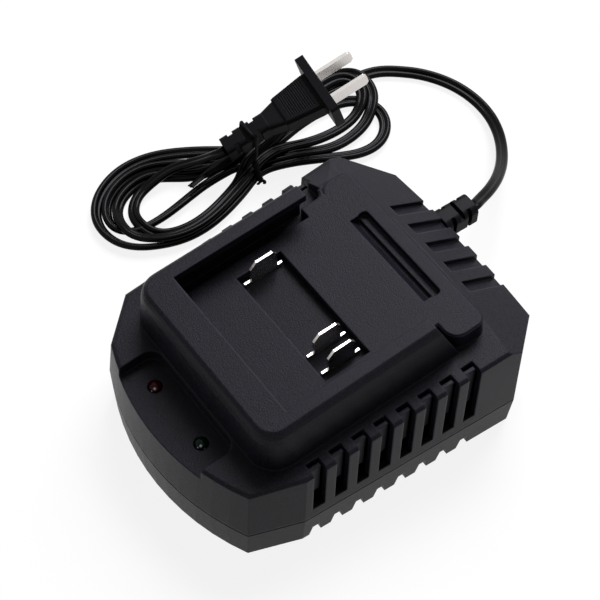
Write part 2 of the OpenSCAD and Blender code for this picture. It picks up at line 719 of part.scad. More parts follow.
hank_h = 12;
tie_at = [-98, 42];
waist_w = 28;
module loop_plan(ax, ay, bx, by, r) {
    hull() {
        translate([ax, ay]) circle(r = r, $fn = 32);
        translate([bx, by]) circle(r = r, $fn = 32);
    }
}
module cord_hank() color([0.05, 0.05, 0.05]) {
    linear_extrude(hank_h) {
        difference() {
            union() {
                loop_plan(-102, -6, -101, 14, 20);
                loop_plan(-97, 94, -97, 78, 20);
                loop_plan(-101, 10, -98, 42, 12);
                loop_plan(-98, 42, -97, 80, 12);
            }
            translate([tie_at[0] - 40, tie_at[1] - 2.4]) square([80, 4.8]);
        }
    }
    translate([tie_at[0], tie_at[1] + 3, 0]) rotate([90, 0, 0]) linear_extrude(6) hank_waist();
}
module hank_waist() {
    translate([-10, 1.6]) square([20, hank_h - 3]);
}

plug_at = [-95, 76.3, 32];
plug_turn = [18.5, 3.5, -6.8];
module plug_frame() {
    translate(plug_at) rotate(plug_turn) children();
}
flange_w = 30;
flange_h = 14;
flange_t = 3.8;
body_w = 18.6;
body_h = 8;
body_l = 16.8;
waist = 14.2;
neck_l = 7.4;
plug_sleeve_l = 18.6;
plug_sleeve = 8.7;
grip_h = 0.6;
grip_ribs = 12;
grip_pitch = 0.95;
grip_border = 1.3;
grip_cut = 0.3;
pin_gap = 12.7;
pin_w = 6.35;
pin_t = 1.5;
pin_l = 16.7;
pin_root = 6;

// upright section of the plug, t behind the front of its flange
module plug_slab(t, w, h, r, depth = 1) {
    translate([0, -t, 0]) rotate([-90, 0, 0]) linear_extrude(depth) rounded_rect(w, h, r);
}
module grip_plan(inset) offset(delta = -inset)
    polygon([[-body_w / 2 + 1, -flange_t - 1.6], [body_w / 2 - 1, -flange_t - 1.6],
             [waist / 2 - 0.8, -flange_t - body_l + 0.6], [-waist / 2 + 0.8, -flange_t - body_l + 0.6]]);
module plug_body() color([0.06, 0.06, 0.06]) plug_frame() difference() {
    union() {
        plug_slab(flange_t, flange_w, flange_h, 1.2, flange_t);
        hull() {
            plug_slab(flange_t + 1, body_w, body_h, 1.5, 1.5);
            plug_slab(flange_t + body_l, waist, body_h, 1.5);
        }
        hull() {
            plug_slab(flange_t + body_l, waist - 1.6, body_h - 0.8, 1.5);
            plug_slab(flange_t + body_l + neck_l, plug_sleeve, plug_sleeve - 1, 2);
        }
        translate([0, -flange_t - body_l - neck_l - plug_sleeve_l, 0])
            sleeve(plug_sleeve, plug_sleeve, plug_sleeve_l + 1, 2);
        // ribbed grips
        for (i = [0, 1]) mirror([0, 0, i]) translate([0, 0, body_h / 2 - 1]) linear_extrude(grip_h + 1)
            grip_plan(0);
    }
    for (i = [0, 1]) mirror([0, 0, i]) translate([0, 0, body_h / 2 + grip_h - grip_cut])
        linear_extrude(2) intersection() {
            grip_plan(grip_border);
            for (k = [0:grip_ribs - 1]) translate([-body_w / 2, -flange_t - 3.6 - k * grip_pitch])
                square([body_w, grip_pitch / 2]);
        }
    for (i = [-1, 1]) translate([i * pin_gap / 2, -pin_root / 2 + 0.5, 0])
        cube([pin_t + 0.1, pin_root + 1, pin_w + 0.1], center = true);
}

module plug_pins() color(steel) plug_frame() for (i = [-1, 1])
    translate([i * pin_gap / 2, -pin_root + 0.5, 0])
        rotate([90, 0, 90]) linear_extrude(pin_t, center = true) polygon([
            [0, -pin_w / 2], [pin_root + pin_l - 1.6, -pin_w / 2], [pin_root + pin_l - 0.5, -pin_w / 2 + 1.4],
            [pin_root + pin_l - 0.5, pin_w / 2 - 1.4], [pin_root + pin_l - 1.6, pin_w / 2], [0, pin_w / 2]]);

// a point on the plug's axis, t behind the front of its flange
function plug_axis(t) = let (a = plug_turn[0], b = plug_turn[1], c = plug_turn[2],
    x = -sin(a) * sin(b), y = -cos(a))
    plug_at + t * [x * cos(c) - y * sin(c), x * sin(c) + y * cos(c), -sin(a) * cos(b)];
sleeve_at = plug_axis((plug_at[1] - tie_at[1]) / cos(plug_turn[0]));
module tie_plan() {
    hull() {
        hank_waist();
        translate([sleeve_at[0] - tie_at[0], sleeve_at[2]]) circle(r = plug_sleeve / 2 + 1.5, $fn = 32);
    }
}
module cord_tie() color([0.05, 0.05, 0.05]) translate([tie_at[0], tie_at[1] + 1.5, 0]) rotate([90, 0, 0])
    linear_extrude(3) difference() {
        offset(r = 1.5) tie_plan();
        offset(r = 0.1) tie_plan();
    }

upper_cover();
lower_case();
terminal_holder();
terminal_positive();
terminal_negative();
terminal_sense();
led_red();
led_green();
light_leads();
circuit_board();
transformer_core();
transformer_winding();
mains_capacitor();
output_capacitors();
suppression_capacitor();
choke();
fuse();
bridge_rectifier();
heatsink_primary();
heatsink_secondary();
power_transistor();
output_rectifier();
controller_chip();
optocoupler();
output_leads();
mains_leads();
cord_clamp();
case_screws();
board_screws();
holder_screws();
clamp_screws();
strain_relief();
power_cord();
cord_hank();
cord_tie();
plug_body();
plug_pins();
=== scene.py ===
# Looks of a power tool battery charger: light, finishes, mains lead, status lights and wire tie.
import json
import math
import bpy
import numpy as np
from mathutils import Matrix, Vector


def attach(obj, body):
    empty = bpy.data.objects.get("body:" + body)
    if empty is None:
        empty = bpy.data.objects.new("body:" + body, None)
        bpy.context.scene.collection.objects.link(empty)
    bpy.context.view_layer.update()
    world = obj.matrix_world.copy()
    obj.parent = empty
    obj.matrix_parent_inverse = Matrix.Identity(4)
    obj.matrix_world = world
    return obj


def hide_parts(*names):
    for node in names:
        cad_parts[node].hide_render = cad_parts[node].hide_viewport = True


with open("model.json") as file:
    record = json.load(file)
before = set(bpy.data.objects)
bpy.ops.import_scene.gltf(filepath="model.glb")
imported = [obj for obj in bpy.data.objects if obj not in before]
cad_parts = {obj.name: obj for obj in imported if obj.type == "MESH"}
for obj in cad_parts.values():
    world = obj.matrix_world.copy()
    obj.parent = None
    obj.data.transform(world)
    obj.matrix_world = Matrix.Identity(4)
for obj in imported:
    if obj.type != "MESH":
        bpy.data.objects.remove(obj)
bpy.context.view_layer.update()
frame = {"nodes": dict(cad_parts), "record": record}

# Blender works in metres. Sizes given in millimetres are multiplied by this.
MM = 0.001
scene = bpy.context.scene


# ---- shader nodes --------------------------------------------------------------
def feed(tree, node, sockets):
    """Gives each socket, by name or number, its value or a link from another node's output."""
    for key, value in sockets.items():
        if isinstance(value, bpy.types.NodeSocket):
            tree.links.new(value, node.inputs[key])
        else:
            node.inputs[key].default_value = value


def add_node(tree, kind, sockets, **settings):
    """A new shader node of a kind, with its settings and what its sockets hold."""
    node = tree.nodes.new("ShaderNode" + kind)
    for setting, value in settings.items():
        setattr(node, setting, value)
    feed(tree, node, sockets)
    return node


def maths(tree, operation, *values):
    """The result of an operation on numbers and other nodes' outputs."""
    return add_node(tree, "Math", dict(enumerate(values)), operation=operation).outputs[0]


def new_material(name):
    """A material that works with nodes, and its node tree."""
    material = bpy.data.materials.new(name)
    material.use_nodes = True
    return material, material.node_tree


# ---- camera --------------------------------------------------------------------
# focal length and film width in millimetres, the rest in metres
CAMERA_LENS = 117.52
CAMERA_FILM = 36
CAMERA_NEAR = 0.05
CAMERA_FAR = 20
CAMERA_PLACE = (0.30477, -0.25622, 0.62801)
# directions of the picture's right and upper side, and from the object back to the camera
CAMERA_RIGHT = (0.59308, 0.80439, 0.03493)
CAMERA_UP = (-0.6723, 0.47089, 0.5712)
CAMERA_BACK = (0.44302, -0.36225, 0.82007)


def add_camera():
    """The camera, from the front right and above."""
    data = bpy.data.cameras.new("camera")
    data.lens = CAMERA_LENS
    data.sensor_width = CAMERA_FILM
    data.clip_start = CAMERA_NEAR
    data.clip_end = CAMERA_FAR
    camera = bpy.data.objects.new("camera", data)
    columns = (CAMERA_RIGHT, CAMERA_UP, CAMERA_BACK, CAMERA_PLACE)
    rows = [[column[i] for column in columns] for i in range(3)]
    camera.matrix_world = Matrix(rows + [[0, 0, 0, 1]])
    scene.collection.objects.link(camera)
    scene.camera = camera


# ---- light and floor -----------------------------------------------------------
# one large soft lamp behind the object on the left: place, aim and width in metres, power in watts
KEY_PLACE = (-0.9, 1.3, 2.05)
KEY_AIM = (0, 0, 0.03)
KEY_SIZE = 1.4
KEY_POWER = 86
KEY_COLOUR = (0.945, 0.92, 1)
# the low room light that reaches the shadows
ROOM_STRENGTH = 0.065
ROOM_COLOUR = (0.96, 0.95, 1.0, 1)
WHITE = (1, 1, 1, 1)
# half the floor's width, and how far it lies below the object's base, in metres
FLOOR_HALF = 3.0
FLOOR_DROP = 0.0001
# the floor's colour for the light that it throws back at the object
FLOOR_PALE = (0.8, 0.8, 0.8, 1)
# what the floor shows: its own white, and a little diffuse grey that carries the shadow
FLOOR_WHITE = 0.87
FLOOR_SHADE = (0.15, 0.15, 0.15, 1)


def split_rays(tree, lighting, shown):
    """One shader for the rays that light the object, and another for what is seen of the surroundings.

    They are seen by the camera, through clear pieces and in reflections.
    """
    rays = tree.nodes.new("ShaderNodeLightPath").outputs
    direct = maths(tree, "MAXIMUM", rays["Is Camera Ray"], rays["Is Transmission Ray"])
    seen = maths(tree, "MAXIMUM", direct, rays["Is Glossy Ray"])
    mix = add_node(tree, "MixShader", {0: seen, 1: lighting.outputs[0], 2: shown.outputs[0]})
    return mix.outputs[0]


def add_world():
    """A studio that is seen as white but lights the object only a little."""
    world = bpy.data.worlds.new("world")
    scene.world = world
    world.use_nodes = True
    tree = world.node_tree
    tree.nodes.clear()
    room = add_node(tree, "Background", {"Color": ROOM_COLOUR, "Strength": ROOM_STRENGTH})
    white = add_node(tree, "Background", {"Color": WHITE, "Strength": 1})
    add_node(tree, "OutputWorld", {"Surface": split_rays(tree, room, white)})


def add_floor():
    """A pale floor that takes the object's shadow."""
    a = FLOOR_HALF
    mesh = bpy.data.meshes.new("floor")
    mesh.from_pydata([(-a, -a, 0), (a, -a, 0), (a, a, 0), (-a, a, 0)], [], [(0, 1, 2, 3)])
    floor = bpy.data.objects.new("floor", mesh)
    floor.location = (0, 0, -FLOOR_DROP)
    scene.collection.objects.link(floor)
    material, tree = new_material("floor")
    tree.nodes.clear()
    pale = add_node(tree, "BsdfDiffuse", {"Color": FLOOR_PALE})
    shade = add_node(tree, "BsdfDiffuse", {"Color": FLOOR_SHADE})
    white = add_node(tree, "Emission", {"Strength": FLOOR_WHITE})
    shown = add_node(tree, "AddShader", {0: shade.outputs[0], 1: white.outputs[0]})
    add_node(tree, "OutputMaterial", {"Surface": split_rays(tree, pale, shown)})
    mesh.materials.append(material)


def add_key_lamp():
    """The large soft lamp, turned towards the object."""
    data = bpy.data.lights.new("key", "AREA")
    data.energy = KEY_POWER
    data.color = KEY_COLOUR
    data.size = KEY_SIZE
    lamp = bpy.data.objects.new("key", data)
    lamp.location = KEY_PLACE
    lamp.rotation_euler = (Vector(KEY_AIM) - Vector(KEY_PLACE)).to_track_quat("-Z", "Y").to_euler()
    scene.collection.objects.link(lamp)


add_camera()
add_world()
add_floor()
add_key_lamp()


# ---- parts of the finishes -------------------------------------------------------
def shaded(colour, share):
    """A colour made darker or lighter, as red, green, blue and alpha."""
    return tuple(c * share for c in colour) + (1,)


def object_place(tree):
    """Each point's place on the object, in metres."""
    return tree.nodes.new("ShaderNodeTexCoord").outputs["Object"]


def noise(tree, place, scale, detail=2, rough=0.5):
    """Noise from 0 to 1, with about as many waves to the metre as its scale."""
    sockets = {"Vector": place, "Scale": scale, "Detail": detail, "Roughness": rough}
    return add_node(tree, "TexNoise", sockets).outputs["Fac"]


def ramp(tree, value, start, end, low=0, high=1):
    """Goes evenly from start to end while the value goes from low to high, and no further."""
    sockets = {"Value": value, "From Min": low, "From Max": high, "To Min": start, "To Max": end}
    return add_node(tree, "MapRange", sockets).outputs[0]


def mixed(tree, share, first, second):
    """The first colour where the share is 0, and the second where it is 1."""
    return add_node(tree, "MixRGB", {0: share, 1: first, 2: second}).outputs[0]


def uneven(tree, height, depth, edge=0, samples=4):
    """The normal of a surface with a height pattern and softened edges.

    The pattern's depth and the edges' radius are in millimetres.
    """
    sockets = {"Height": height, "Distance": depth * MM}
    if edge:
        sockets["Normal"] = add_node(tree, "Bevel", {"Radius": edge * MM}, samples=samples).outputs[0]
    return add_node(tree, "Bump", sockets).outputs[0]


# painted highlight and wear: a mask of the outer edges, where the colour is painted lighter, partly as rubbed
# wear and partly as light caught by the edges
def rubbed_and_highlit_edges(tree):
    """1 along the outer edges and 0 on the faces between them."""
    reach = 0.8 * MM
    inner = add_node(tree, "AmbientOcclusion", {"Distance": reach}, inside=True, samples=6)
    return ramp(tree, inner.outputs["AO"], start=1, end=0, low=0.5, high=0.95)


def finish(tree, sockets):
    """Sets the sockets of the material's Principled shader."""
    feed(tree, tree.nodes["Principled BSDF"], sockets)


# ---- finishes --------------------------------------------------------------------
def moulded(name, colour, rough, grain, depth=0.06, mottle=0.15, edge=0.4, specular=0.5, wear_and_highlight=0):
    """Moulded plastic with a fine spark-eroded grain, varied colour and gloss, and softened edges.

    Grain, its depth and the edges' radius are in millimetres. Mottle is the share by which the colour
    varies. The share given for wear and highlight is how much lighter the outer edges are painted: partly
    rubbed wear, partly a painted highlight where the edges catch the light.
    """
    gloss_range = 0.05
    speck_share = 0.8
    material, tree = new_material(name)
    place = object_place(tree)
    fine = noise(tree, place, scale=1 / (grain * MM), detail=3, rough=0.6)
    broad = noise(tree, place, scale=60, detail=4)
    specks = ramp(tree, fine, start=0, end=1, low=0.38, high=0.62)
    patches = maths(tree, "MULTIPLY", broad, 1 - speck_share)
    pattern = maths(tree, "MULTIPLY_ADD", specks, speck_share, patches)
    tint = mixed(tree, pattern, shaded(colour, 1 - mottle), shaded(colour, 1 + mottle))
    # outer edges painted lighter: partly rubbed wear, partly a painted highlight
    if wear_and_highlight:
        tint = mixed(tree, rubbed_and_highlit_edges(tree), tint, shaded(colour, 1 + wear_and_highlight))
    finish(tree, {
        "Base Color": tint,
        "Roughness": ramp(tree, pattern, start=rough - gloss_range, end=rough + gloss_range),
        "Specular IOR Level": specular,
        "Normal": uneven(tree, fine, depth, edge, samples=6),
    })
    return material


def metal(name, colour, rough):
    """Plated or drawn metal with faint lines along the object."""
    gloss_range = 0.3
    material, tree = new_material(name)
    stretched = add_node(tree, "Mapping", {"Vector": object_place(tree), "Scale": (1, 0.06, 1)})
    lines = noise(tree, stretched.outputs[0], scale=2500, detail=3)
    finish(tree, {
        "Base Color": mixed(tree, lines, shaded(colour, 0.9), shaded(colour, 1)),
        "Metallic": 1,
        "Roughness": ramp(tree, lines, start=rough * (1 - gloss_range), end=rough * (1 + gloss_range)),
        "Normal": uneven(tree, lines, depth=0.01, edge=0.15),
    })
    return material


def lens(name, colour, specks):
    """Tinted epoxy of an unlit light, with bright specks painted on it as highlights.

    Each speck has a place on the object and a radius, in millimetres. It fades out round that radius.
    """
    # near-white of the painted highlights
    highlight_colour = (0.95, 0.93, 0.93, 1)
    fade_from = 0.6
    fade_to = 1.3
    material, tree = new_material(name)
    place = object_place(tree)
    cloud = noise(tree, place, scale=500)
    tint = mixed(tree, cloud, shaded(colour, 1.3), shaded(colour, 0.6))
    # each speck is a painted highlight: near-white mixed into the colour round its place
    for point, radius in specks:
        centre = [c * MM for c in point]
        far = add_node(tree, "VectorMath", {0: place, 1: centre}, operation="DISTANCE").outputs["Value"]
        painted_highlight = ramp(tree, far, start=1, end=0, low=radius * fade_from * MM, high=radius * fade_to * MM)
        tint = mixed(tree, painted_highlight, tint, highlight_colour)
    finish(tree, {
        "Base Color": tint,
        "Roughness": 0.05,
        "Specular IOR Level": 0.06,
        "Normal": uneven(tree, cloud, depth=0.003),
    })
    return material


def fibre_board(name):
    """Solder-masked board with faint track lines."""
    material, tree = new_material(name)
    tracks = add_node(tree, "TexBrick", {
        "Vector": object_place(tree),
        "Scale": 90,
        "Color1": (0.003, 0.014, 0.006, 1),
        "Color2": (0.004, 0.018, 0.008, 1),
        "Mortar": (0.006, 0.03, 0.012, 1),
        "Mortar Size": 0.04,
    })
    finish(tree, {
        "Base Color": tracks.outputs["Color"],
        "Roughness": 0.35,
        "Normal": uneven(tree, tracks.outputs["Fac"], depth=0.03),
    })
    return material


def windings(name, colour):
    """Enamelled turns seen through tape."""
    material, tree = new_material(name)
    sockets = {"Vector": object_place(tree), "Scale": 500, "Distortion": 1}
    turns = add_node(tree, "TexWave", sockets, bands_direction="Z").outputs["Fac"]
    finish(tree, {
        "Base Color": mixed(tree, turns, shaded(colour, 0.6), shaded(colour, 1)),
        "Roughness": 0.35,
        "Normal": uneven(tree, turns, depth=0.1),
    })
    return material


# what pieces of like plastic share
CASE_GRAIN = {"grain": 0.52, "depth": 0.12, "mottle": 0.85}
PLUG_GRAIN = {"grain": 0.3, "depth": 0.04, "edge": 0.3}
GLOSSY_PVC = {"grain": 0.5, "depth": 0.01, "edge": 0}
# painted highlights on the two lights: bright specks, each with its place and its radius
RED_PAINTED_HIGHLIGHTS = [((-13.11, -60.46, 37.17), 0.5), ((-13.48, -61.51, 36.17), 0.34)]
GREEN_PAINTED_HIGHLIGHTS = [((15.69, -60.46, 37.17), 0.48), ((16.81, -59.59, 35.93), 0.34),
                ((15.22, -61.45, 36.41), 0.34)]

MATERIALS = {
    # the housing's outer edges are painted lighter, as wear and as a painted highlight
    "housing": moulded("housing", (0.0088, 0.0083, 0.0122), 0.38, edge=0.9, specular=0.075, wear_and_highlight=1.5,
                       **CASE_GRAIN),
    "holder": moulded("holder", (0.0074, 0.007, 0.0104), 0.38, edge=0.2, specular=0.07, **CASE_GRAIN),
    "contact": metal("contact", (0.66, 0.63, 0.6), 0.24),
    "led_red": lens("led_red", (0.05, 0.0004, 0.003), RED_PAINTED_HIGHLIGHTS),
    "led_green": lens("led_green", (0.001, 0.022, 0.009), GREEN_PAINTED_HIGHLIGHTS),
    "tinned_wire": metal("tinned_wire", (0.7, 0.7, 0.7), 0.3),
    "board": fibre_board("board"),
    "ferrite": moulded("ferrite", (0.06, 0.06, 0.065), 0.6, grain=0.5),
    "winding": windings("winding", (0.6, 0.42, 0.06)),
    "capacitor": moulded("capacitor", (0.02, 0.03, 0.1), 0.3, grain=1.0, depth=0.01),
    "film_capacitor": moulded("film_capacitor", (0.5, 0.38, 0.04), 0.4, grain=0.5),
    "ceramic": moulded("ceramic", (0.7, 0.7, 0.66), 0.4, grain=0.5),
    "component": moulded("component", (0.02, 0.02, 0.02), 0.5, grain=0.2),
    "heatsink": metal("heatsink", (0.7, 0.71, 0.73), 0.4),
    "wire_red": moulded("wire_red", (0.35, 0.02, 0.02), 0.35, grain=0.8, depth=0.01),
    "cord": moulded("cord", (0.0018, 0.0018, 0.0022), 0.16, specular=0.06, **GLOSSY_PVC),
    "tie": moulded("tie", (0.003, 0.003, 0.003), 0.4, specular=0.04, **GLOSSY_PVC),
    "relief": moulded("relief", (0.0046, 0.0046, 0.0058), 0.42, specular=0.05, **PLUG_GRAIN),
    "plug": moulded("plug", (0.0048, 0.0048, 0.006), 0.42, specular=0.055, **PLUG_GRAIN),
    "screw": metal("screw", (0.6, 0.6, 0.62), 0.35),
}
for part in frame["record"]["subparts"]:
    node = frame["nodes"][part["node"]]
    node.data.materials.clear()
    node.data.materials.append(MATERIALS[part["material_slot"]])


# ---- curves and meshes -------------------------------------------------------------
def lengths_along(line):
    """How far each point of a line lies from its start, along the line."""
    return np.concatenate([[0], np.cumsum(np.linalg.norm(np.diff(line, axis=0), axis=1))])


def even(line, step):
    """The same line with its points about a step apart."""
    run = lengths_along(line)
    at = np.linspace(0, run[-1], int(round(run[-1] / step)) + 1)
    return np.stack([np.interp(at, run, line[:, k]) for k in range(3)], axis=1)


def spline(points, step, parts=24):
    """Points about a step apart on a Catmull-Rom curve through the given ones.

    The curve is worked out at so many parts from one given point to the next.
    """
    given = np.array(points, float)
    before = 2 * given[0] - given[1]
    after = 2 * given[-1] - given[-2]
    p = np.vstack([before, given, after])
    dense = []
    for i in range(1, len(p) - 2):
        a = 2 * p[i]
        b = p[i + 1] - p[i - 1]
        c = 2 * p[i - 1] - 5 * p[i] + 4 * p[i + 1] - p[i + 2]
        d = -p[i - 1] + 3 * p[i] - 3 * p[i + 1] + p[i + 2]
        for t in np.linspace(0, 1, parts, endpoint=False):
            dense.append(0.5 * (a + b * t + c * t * t + d * t ** 3))
    dense.append(given[-1])
    return even(np.array(dense), step)


def sweep(path, section, twist, across=None):
    """Mesh of a section carried along a path, both in millimetres.

    The section's x side is level, or near the direction across, and is turned by twist, in radians.
    """
    verts = []
    for i, point in enumerate(path):
        ahead = path[min(i + 1, len(path) - 1)] - path[max(i - 1, 0)]
        ahead = ahead / np.linalg.norm(ahead)
        if across is None:
            side = np.cross(ahead, (0, 0, 1))
        else:
            side = np.array(across) - ahead * np.dot(across, ahead)
        side = side / np.linalg.norm(side)
        up = np.cross(side, ahead)
        x_axis = side * math.cos(twist[i]) + up * math.sin(twist[i])
        y_axis = up * math.cos(twist[i]) - side * math.sin(twist[i])
        for x, y in section:
            verts.append(tuple((point + x_axis * x + y_axis * y) * MM))
    faces = []
    n = len(section)
    last = (len(path) - 1) * n
    for ring in range(0, last, n):
        for k in range(n):
            j = (k + 1) % n
            faces.append((ring + k, ring + j, ring + n + j, ring + n + k))
    faces.append(tuple(range(n - 1, -1, -1)))
    faces.append(tuple(range(last, last + n)))
    return verts, faces


def turned(profile, sides=48):
    """Mesh of (radius, height) points, in millimetres, turned about z. The first and last lie on it."""
    verts = [(0, 0, profile[0][1] * MM)]
    for radius, height in profile[1:-1]:
        for i in range(sides):
            a = 2 * math.pi * i / sides
            verts.append((radius * MM * math.cos(a), radius * MM * math.sin(a), height * MM))
    verts.append((0, 0, profile[-1][1] * MM))
    faces = []
    tip = len(verts) - 1
    top_ring = tip - sides
    for i in range(sides):
        j = (i + 1) % sides
        faces.append((0, 1 + j, 1 + i))
        for ring in range(1, top_ring, sides):
            faces.append((ring + i, ring + j, ring + sides + j, ring + sides + i))
        faces.append((top_ring + i, top_ring + j, tip))
    return verts, faces


def joined(meshes):
    """One mesh of several."""
    verts = []
    faces = []
    for more_verts, more_faces in meshes:
        faces += [tuple(k + len(verts) for k in face) for face in more_faces]
        verts += more_verts
    return verts, faces


def add_mesh(name, verts, faces, material):
    """A smooth-shaded object with a material."""
    mesh = bpy.data.meshes.new(name)
    mesh.from_pydata(verts, [], faces)
    mesh.validate()
    mesh.update()
    mesh.materials.append(MATERIALS[material])
    for face in mesh.polygons:
        face.use_smooth = True
    obj = bpy.data.objects.new(name, mesh)
    scene.collection.objects.link(obj)
    return obj


# ---- mains lead, in millimetres ----------------------------------------------------
CORD_W = 5.0
CORD_T = 2.6
# degrees of each core's outline that are round, and half the thickness left in the groove, in core radii
CORE_ARC = 260
GROOVE = 0.56
# the free stretch from the strain relief to the floor
ARC = [(-14.6, 86.4, 31.6), (-14.7, 89, 31.6), (-16.7, 93.6, 29.4), (-20.1, 101.3, 25.9), (-24.2, 108.5, 22),
       (-28.9, 115.1, 17.9), (-34.2, 121.4, 13.8), (-40.2, 127.3, 10.1), (-46.9, 132.7, 7),
       (-54.5, 137.3, 4.7), (-62.9, 140.4, 3.3), (-71.9, 141.5, 2.5), (-81, 140.4, 2.2), (-89.5, 137.2, 2.1),
       (-97.2, 132.2, 2.1), (-103.7, 125.8, 2.1), (-109.2, 118.5, 2.1)]
# the folded runs. Each but the last ends where it goes through the tie.
RUNS = [
    [(-111.3, 112.5, 2.1), (-112.3, 104.8, 2.1), (-113.3, 96, 2.1), (-113.2, 85.4, 2.1), (-111.8, 74, 2.1),
     (-108.7, 62.4, 2.1), (-106.1, 53.9, 2.1), (-107.8, 43, 2.1)],
    [(-109, 40.3, 2.1), (-113.9, 34.7, 2.1), (-118.1, 27.7, 2.1), (-122.1, 20.5, 2.1), (-125.3, 12.8, 2.1),
     (-126.5, 4.8, 2.1), (-125.4, -3.7, 2.1), (-122.3, -11.5, 2.1), (-117.9, -17.6, 2.1),
     (-113.2, -21.5, 2.1), (-107, -24, 2.1), (-100.6, -24, 2.1), (-94.9, -21.9, 2.1), (-91.2, -17.8, 2.1),
     (-88.1, -12.2, 2.1), (-85.7, -6.2, 2.1), (-84.2, 0.4, 2.1), (-83.9, 7.9, 2.1), (-85.1, 16.6, 2.1),
     (-87.7, 25.3, 2.1), (-90.8, 33.4, 2.1), (-94, 43, 2.1)],
    [(-95, 49.5, 2.1), (-93.6, 55.5, 2.1), (-91, 61.7, 2.1), (-84.2, 72.1, 2.1), (-79.4, 80.8, 2.1),
     (-77.4, 89.7, 2.1), (-79.4, 97, 2.1), (-84.3, 102.3, 2.1), (-89.9, 104.6, 2.1), (-96, 104, 2.1),
     (-101.3, 100.7, 2.1), (-104.7, 94.8, 2.1), (-106, 86.3, 2.1), (-105.5, 75.5, 2.1), (-104.1, 64.2, 2.1),
     (-102.1, 55.1, 2.1), (-103.2, 43, 2.1)],
    [(-105.7, 38, 2.2), (-108.7, 31.1, 2.2), (-112.7, 23.9, 2.2), (-117, 17, 2.2), (-120.8, 9.8, 2.2),
     (-122.7, 2.2, 2.2), (-122.1, -5.9, 2.2), (-119.2, -12.6, 2.2), (-115.7, -17.2, 2.2),
     (-111.1, -19.5, 2.2), (-106, -20.1, 2.2), (-101.4, -18.8, 2.2), (-98.2, -15.5, 2.2), (-96.9, -10.9, 2.2),
     (-96.9, -5.3, 2.2), (-97.5, 1.8, 2.2), (-98.9, 9.5, 2.2), (-100.6, 18.6, 2.2), (-102.3, 27.6, 2.2),
     (-103.4, 37.3, 2.2), (-98.6, 43, 2.1)],
    [(-96.2, 49.7, 4.6), (-94.5, 57.1, 4.6), (-90, 66, 4.6), (-87.2, 76.2, 4.6), (-87.3, 86.7, 4.6),
     (-90, 96, 4.6), (-94.8, 103.4, 4.6), (-102.3, 108.1, 4.6), (-110, 108.7, 4.6), (-115.8, 105.6, 4.6),
     (-118.3, 99.6, 4.6), (-118.1, 91, 4.6), (-115.7, 80.9, 4.6), (-111.6, 69.6, 4.6), (-105.8, 58.2, 4.6),
     (-105.4, 43, 5.2)],
    [(-103.3, 35.3, 4.8), (-105.4, 26.8, 4.8), (-108.8, 19.3, 4.8), (-112.3, 13.9, 4.8), (-115.4, 8.2, 4.8),
     (-117, 1.4, 4.8), (-116.3, -5.7, 4.8), (-113.2, -11.9, 4.8), (-108.6, -15.9, 4.8), (-103.4, -18.1, 4.8),
     (-98.5, -18, 4.8), (-93.8, -15.9, 4.8), (-89.6, -12.1, 4.8), (-86.1, -6.8, 4.8), (-84.2, -0.5, 4.8),
     (-83.8, 6.9, 4.8), (-85, 14.5, 4.8), (-87.2, 21.9, 4.8), (-90, 29.4, 4.8), (-92.6, 36.1, 4.8),
     (-96.3, 43, 5.2)],
    [(-97.7, 49.8, 5), (-97.3, 57.1, 5), (-95.9, 66.3, 5), (-94, 75.1, 5), (-93.4, 84.5, 5), (-94.8, 93.3, 5),
     (-98.8, 100.9, 5), (-105.1, 105.4, 5), (-111.6, 105.1, 5), (-114.6, 99.4, 5), (-113.8, 88.9, 5),
     (-110.7, 76.6, 5), (-106.8, 64.6, 5), (-102.8, 55.8, 5), (-101, 43, 5.8)],
    [(-93.1, 35.5, 6), (-90.6, 28.3, 5.6), (-87.8, 20.4, 5.2), (-86.2, 12.5, 5), (-85.7, 5.3, 5),
     (-87, -1.4, 5), (-90.1, -7, 5), (-94.6, -10.6, 5), (-100.1, -11.3, 4.6), (-105.5, -9.6, 3.4),
     (-110.2, -6, 3), (-113.2, -1.1, 3.4), (-114.7, 5.3, 4.6), (-114.5, 12, 6.2), (-112.7, 18.1, 8.2),
     (-109.3, 22.9, 10.8), (-105.3, 26, 13.4)],
]
# the end that rises into the plug's own relief
PLUG_LEAD = [(-101.8, 29, 16), (-101.13, 32.6, 17.24)]

# distance between the points that settle, and between those of the finished lead
SETTLE_STEP = 3.0
LEAD_STEP = 1.5
# spacing of the centres of neighbouring runs, side by side and one on the other
BESIDE = 4.5
ABOVE = 3.3
# the lowest that a centre settles: half the height of the lead where it leans most
LOWEST = 2.2
# how many points at the plug's end stay where they are
HELD_AT_PLUG = 3
# points that are less than this many places apart along the lead don't push each other
SAME_STRETCH = 5
# the rounds of settling. In each, a point is pushed by a share of every overlap, with the push's height
# enlarged and its length limited, and sinks a little. It is also drawn back to its given place, to a
# straight line and to its neighbours' height, with a strength for each.
SETTLE_ROUNDS = 260
PUSH = 0.22
PUSH_HEIGHT = 1.5
PUSH_MOST = 0.6
SINK = 0.10
HOMING = 0.06
STRAIGHTEN = 0.06
LEVEL = 0.15
# rounds at the end that only smooth the line, and by what share
SMOOTH_ROUNDS = 3
SMOOTH = 0.25


def push_apart(line, near):
    """The moves that part stretches that lie too close. Points marked near don't push each other.

    The tiny numbers keep zeros from being divided by.
    """
    gap = line[:, None, :] - line[None, :, :]
    distance = np.sqrt((gap ** 2).sum(2)) + 1e-6
    push = np.where(near | (distance > BESIDE), 0, (BESIDE - distance) / distance * PUSH)
    gap[:, :, 2] *= PUSH_HEIGHT
    move = (push[:, :, None] * gap).sum(1)
    length = np.linalg.norm(move, axis=1, keepdims=True)
    return move * np.minimum(1, PUSH_MOST / (length + 1e-9))


def smoothing(line):
    """The moves towards the middle of each point's two neighbours, twice over."""
    move = np.zeros_like(line)
    move[1:-1] = line[2:] + line[:-2] - 2 * line[1:-1]
    return move


